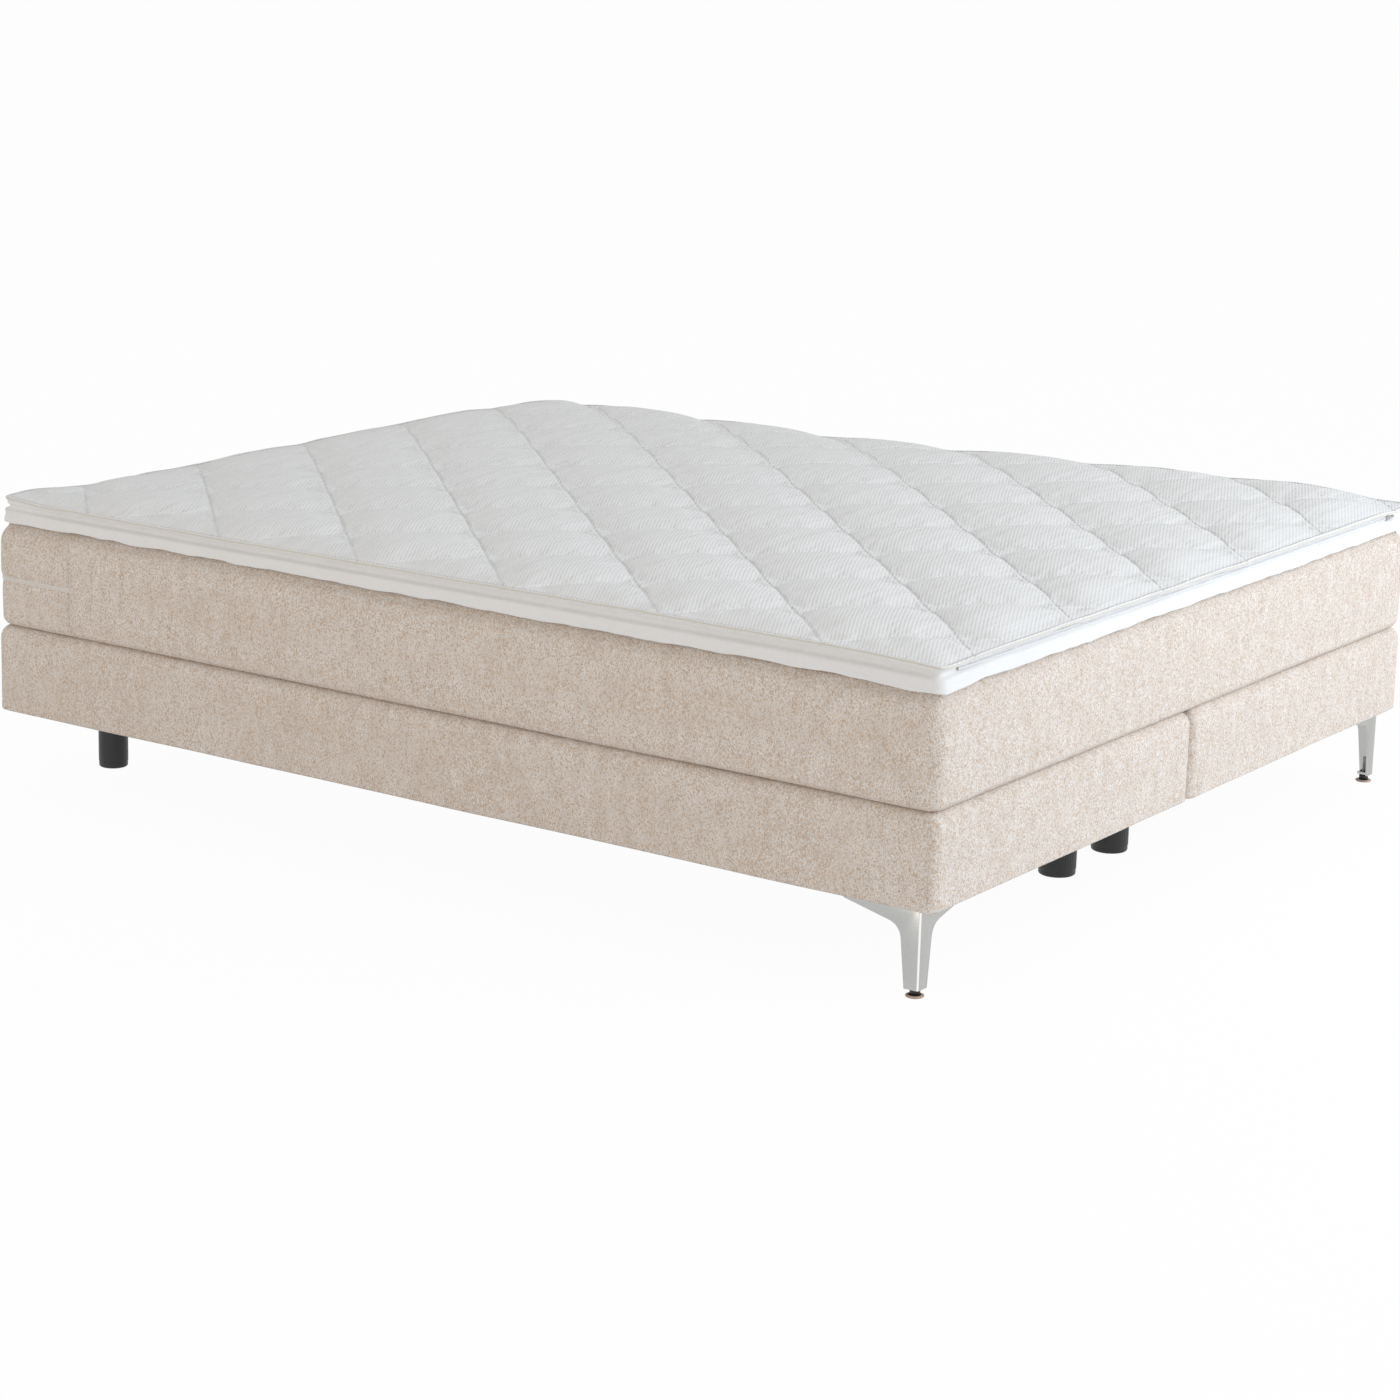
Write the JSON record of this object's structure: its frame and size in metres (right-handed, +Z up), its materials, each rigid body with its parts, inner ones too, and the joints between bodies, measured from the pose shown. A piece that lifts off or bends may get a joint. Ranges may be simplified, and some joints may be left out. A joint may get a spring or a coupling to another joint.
{
  "type": "box spring bed",
  "caption": "Double box spring bed without headboard: upholstered bases side by side on legs, a zipped pocket-spring mattress and a quilted topper.",
  "frame": {"origin": "on the floor under the middle of the bed", "axes": "+X across the bed, +Y towards the head end, +Z up"},
  "size_m": [1.8, 2.1, 0.5836],
  "materials": {
    "boucle_fabric": "beige mottled weave",
    "quilted_fabric": "white knitted",
    "satin_chrome": "satin",
    "black_plastic": "satin moulded",
    "foot_pad_plastic": "moulded",
    "zinc_steel": "zinc plated",
    "frame_wood": "sawn softwood",
    "foam": "open-cell foam",
    "spring_pockets": "non-woven",
    "dust_cover_sheet": "non-woven",
    "zip_tape": "woven tape"
  },
  "bodies": {
    "bases": {"left_base_cover": "boucle_fabric", "left_outer_side_rail": "frame_wood", "left_inner_side_rail": "frame_wood", "left_foot_rail": "frame_wood", "left_head_rail": "frame_wood", "left_foot_leg_board": "frame_wood", "left_head_leg_board": "frame_wood", "left_cross_bar_1": "frame_wood", "left_cross_bar_2": "frame_wood", "left_base_springs": "spring_pockets", "left_base_foam": "foam", "left_dust_cover": "dust_cover_sheet", "left_foot_inner_leg": "black_plastic", "left_head_inner_leg": "black_plastic", "left_head_outer_leg": "black_plastic", "left_corner_leg": "satin_chrome", "left_leg_screw_1": "zinc_steel", "left_leg_screw_2": "zinc_steel", "right_base_cover": "boucle_fabric", "right_outer_side_rail": "frame_wood", "right_inner_side_rail": "frame_wood", "right_foot_rail": "frame_wood", "right_head_rail": "frame_wood", "right_foot_leg_board": "frame_wood", "right_head_leg_board": "frame_wood", "right_cross_bar_1": "frame_wood", "right_cross_bar_2": "frame_wood", "right_base_springs": "spring_pockets", "right_base_foam": "foam", "right_dust_cover": "dust_cover_sheet", "right_foot_inner_leg": "black_plastic", "right_head_inner_leg": "black_plastic", "right_head_outer_leg": "black_plastic", "right_corner_leg": "satin_chrome", "right_leg_screw_1": "zinc_steel", "right_leg_screw_2": "zinc_steel", "foot_coupling_strap": "zinc_steel", "head_coupling_strap": "zinc_steel"},
    "mattress": {"mattress_cover": "boucle_fabric", "mattress_bottom_foam": "foam", "mattress_top_foam": "foam", "mattress_edge_foam": "foam", "mattress_spring_core": "spring_pockets", "mattress_zip_tape": "zip_tape"},
    "mattress_slider": {"mattress_zip_slider": "satin_chrome"},
    "topper": {"topper_base_panel": "quilted_fabric", "topper_border": "quilted_fabric", "topper_core": "foam", "topper_quilted_top": "quilted_fabric", "topper_zip_tape": "quilted_fabric"},
    "topper_slider": {"topper_zip_slider": "satin_chrome"},
    "left_pad": {"left_levelling_pad": "foot_pad_plastic"},
    "left_stud": {"left_levelling_stud": "zinc_steel"},
    "right_pad": {"right_levelling_pad": "foot_pad_plastic"},
    "right_stud": {"right_levelling_stud": "zinc_steel"}
  },
  "joints": [
    {"name": "mattress_lift", "type": "slide", "parent": "bases", "child": "mattress", "axis": [0, 0, 1], "range_m": [0, 0.3]},
    {"name": "topper_lift", "type": "slide", "parent": "mattress", "child": "topper", "axis": [0, 0, 1], "range_m": [0, 0.15]},
    {"name": "mattress_zip_slide", "type": "slide", "parent": "mattress", "child": "mattress_slider", "axis": [-1, 0, 0], "range_m": [0, 1.67]},
    {"name": "topper_zip_slide", "type": "slide", "parent": "topper", "child": "topper_slider", "axis": [-1, 0, 0], "range_m": [0, 1.63]},
    {"name": "left_levelling_travel", "type": "slide", "parent": "bases", "child": "left_pad", "axis": [0, 0, -1], "range_m": [0, 0.01]},
    {"name": "left_levelling_turn", "type": "hinge", "parent": "left_pad", "child": "left_stud", "pos_m": [-0.868, -1.004, 0], "axis": [0, 0, -1], "range_deg": [0, 2880]},
    {"name": "right_levelling_travel", "type": "slide", "parent": "bases", "child": "right_pad", "axis": [0, 0, -1], "range_m": [0, 0.01]},
    {"name": "right_levelling_turn", "type": "hinge", "parent": "right_pad", "child": "right_stud", "pos_m": [0.868, -1.004, 0], "axis": [0, 0, -1], "range_deg": [0, 2880]}
  ],
  "couplings": [
    {"joint": "left_levelling_travel", "follows": "left_levelling_turn", "m_per_rad": 0.00019894},
    {"joint": "right_levelling_travel", "follows": "right_levelling_turn", "m_per_rad": 0.00019894}
  ]
}
